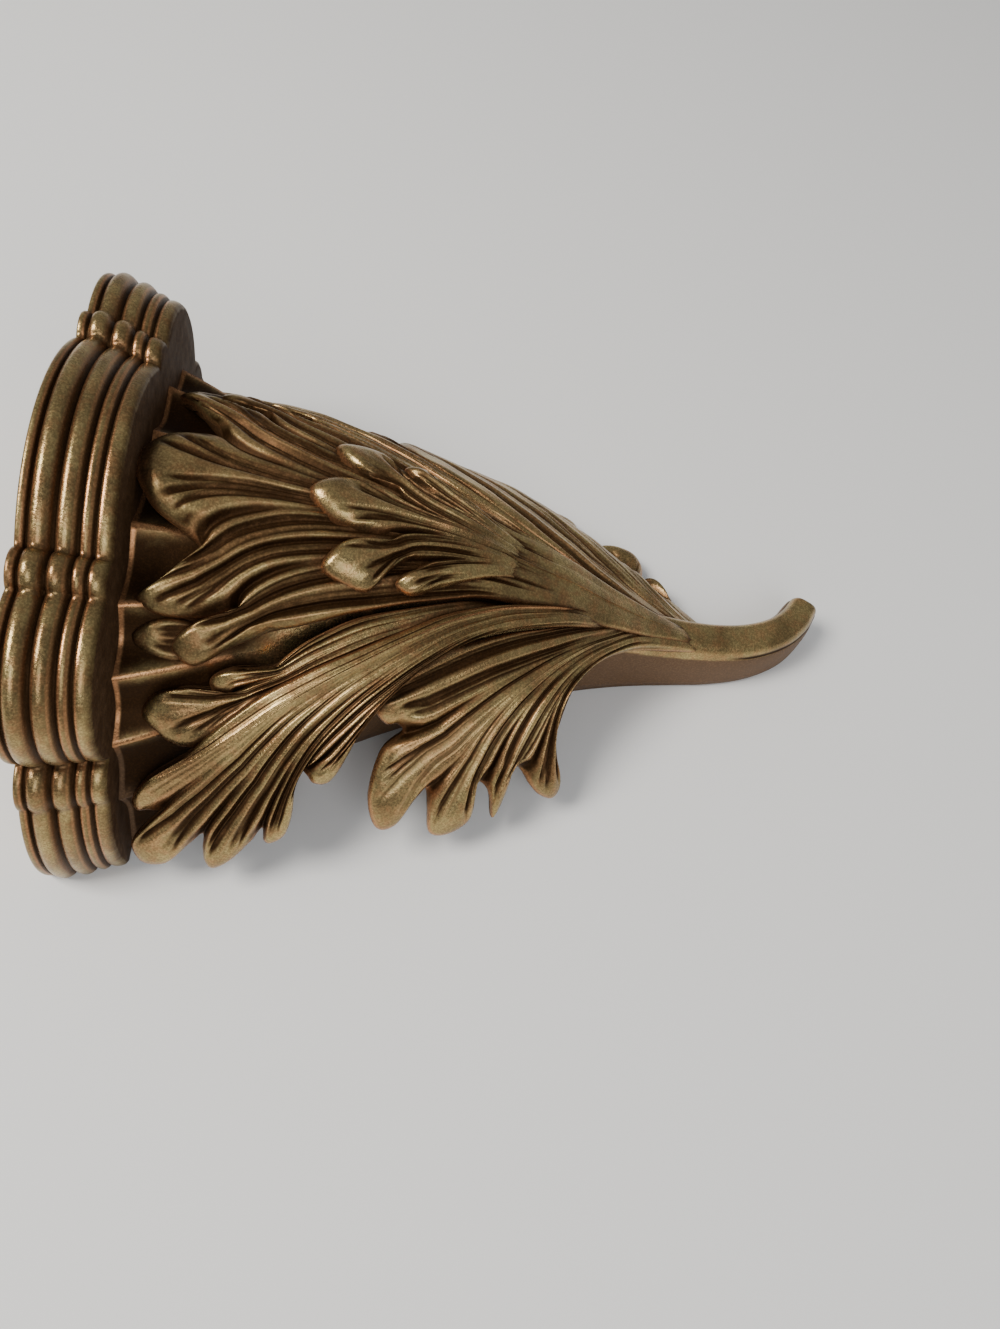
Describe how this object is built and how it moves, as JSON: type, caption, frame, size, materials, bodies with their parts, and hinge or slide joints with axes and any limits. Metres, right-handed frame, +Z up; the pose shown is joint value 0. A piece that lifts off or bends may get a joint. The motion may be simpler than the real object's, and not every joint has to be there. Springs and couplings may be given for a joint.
{
  "type": "wall corbel",
  "caption": "Carved acanthus wall bracket with a lobed and beaded shelf, spreading leaf fans, a stem and a short tail curling sideways; flat back.",
  "frame": {"origin": "on the flat back, midway across the wall edge of the shelf and 40 mm below the shelf's top, where the wall is", "axes": "+Z up, shelf on top; +Y into the wall; the carved face looks along -Y; +X to the right of someone who faces it, the side the tail curls to"},
  "size_m": [0.165, 0.0977, 0.2263],
  "materials": {
    "gilding": "antique gold paint, darkened in the hollows and worn to copper on the edges"
  },
  "bodies": {
    "root": {"corbel": "gilding"}
  },
  "joints": []
}
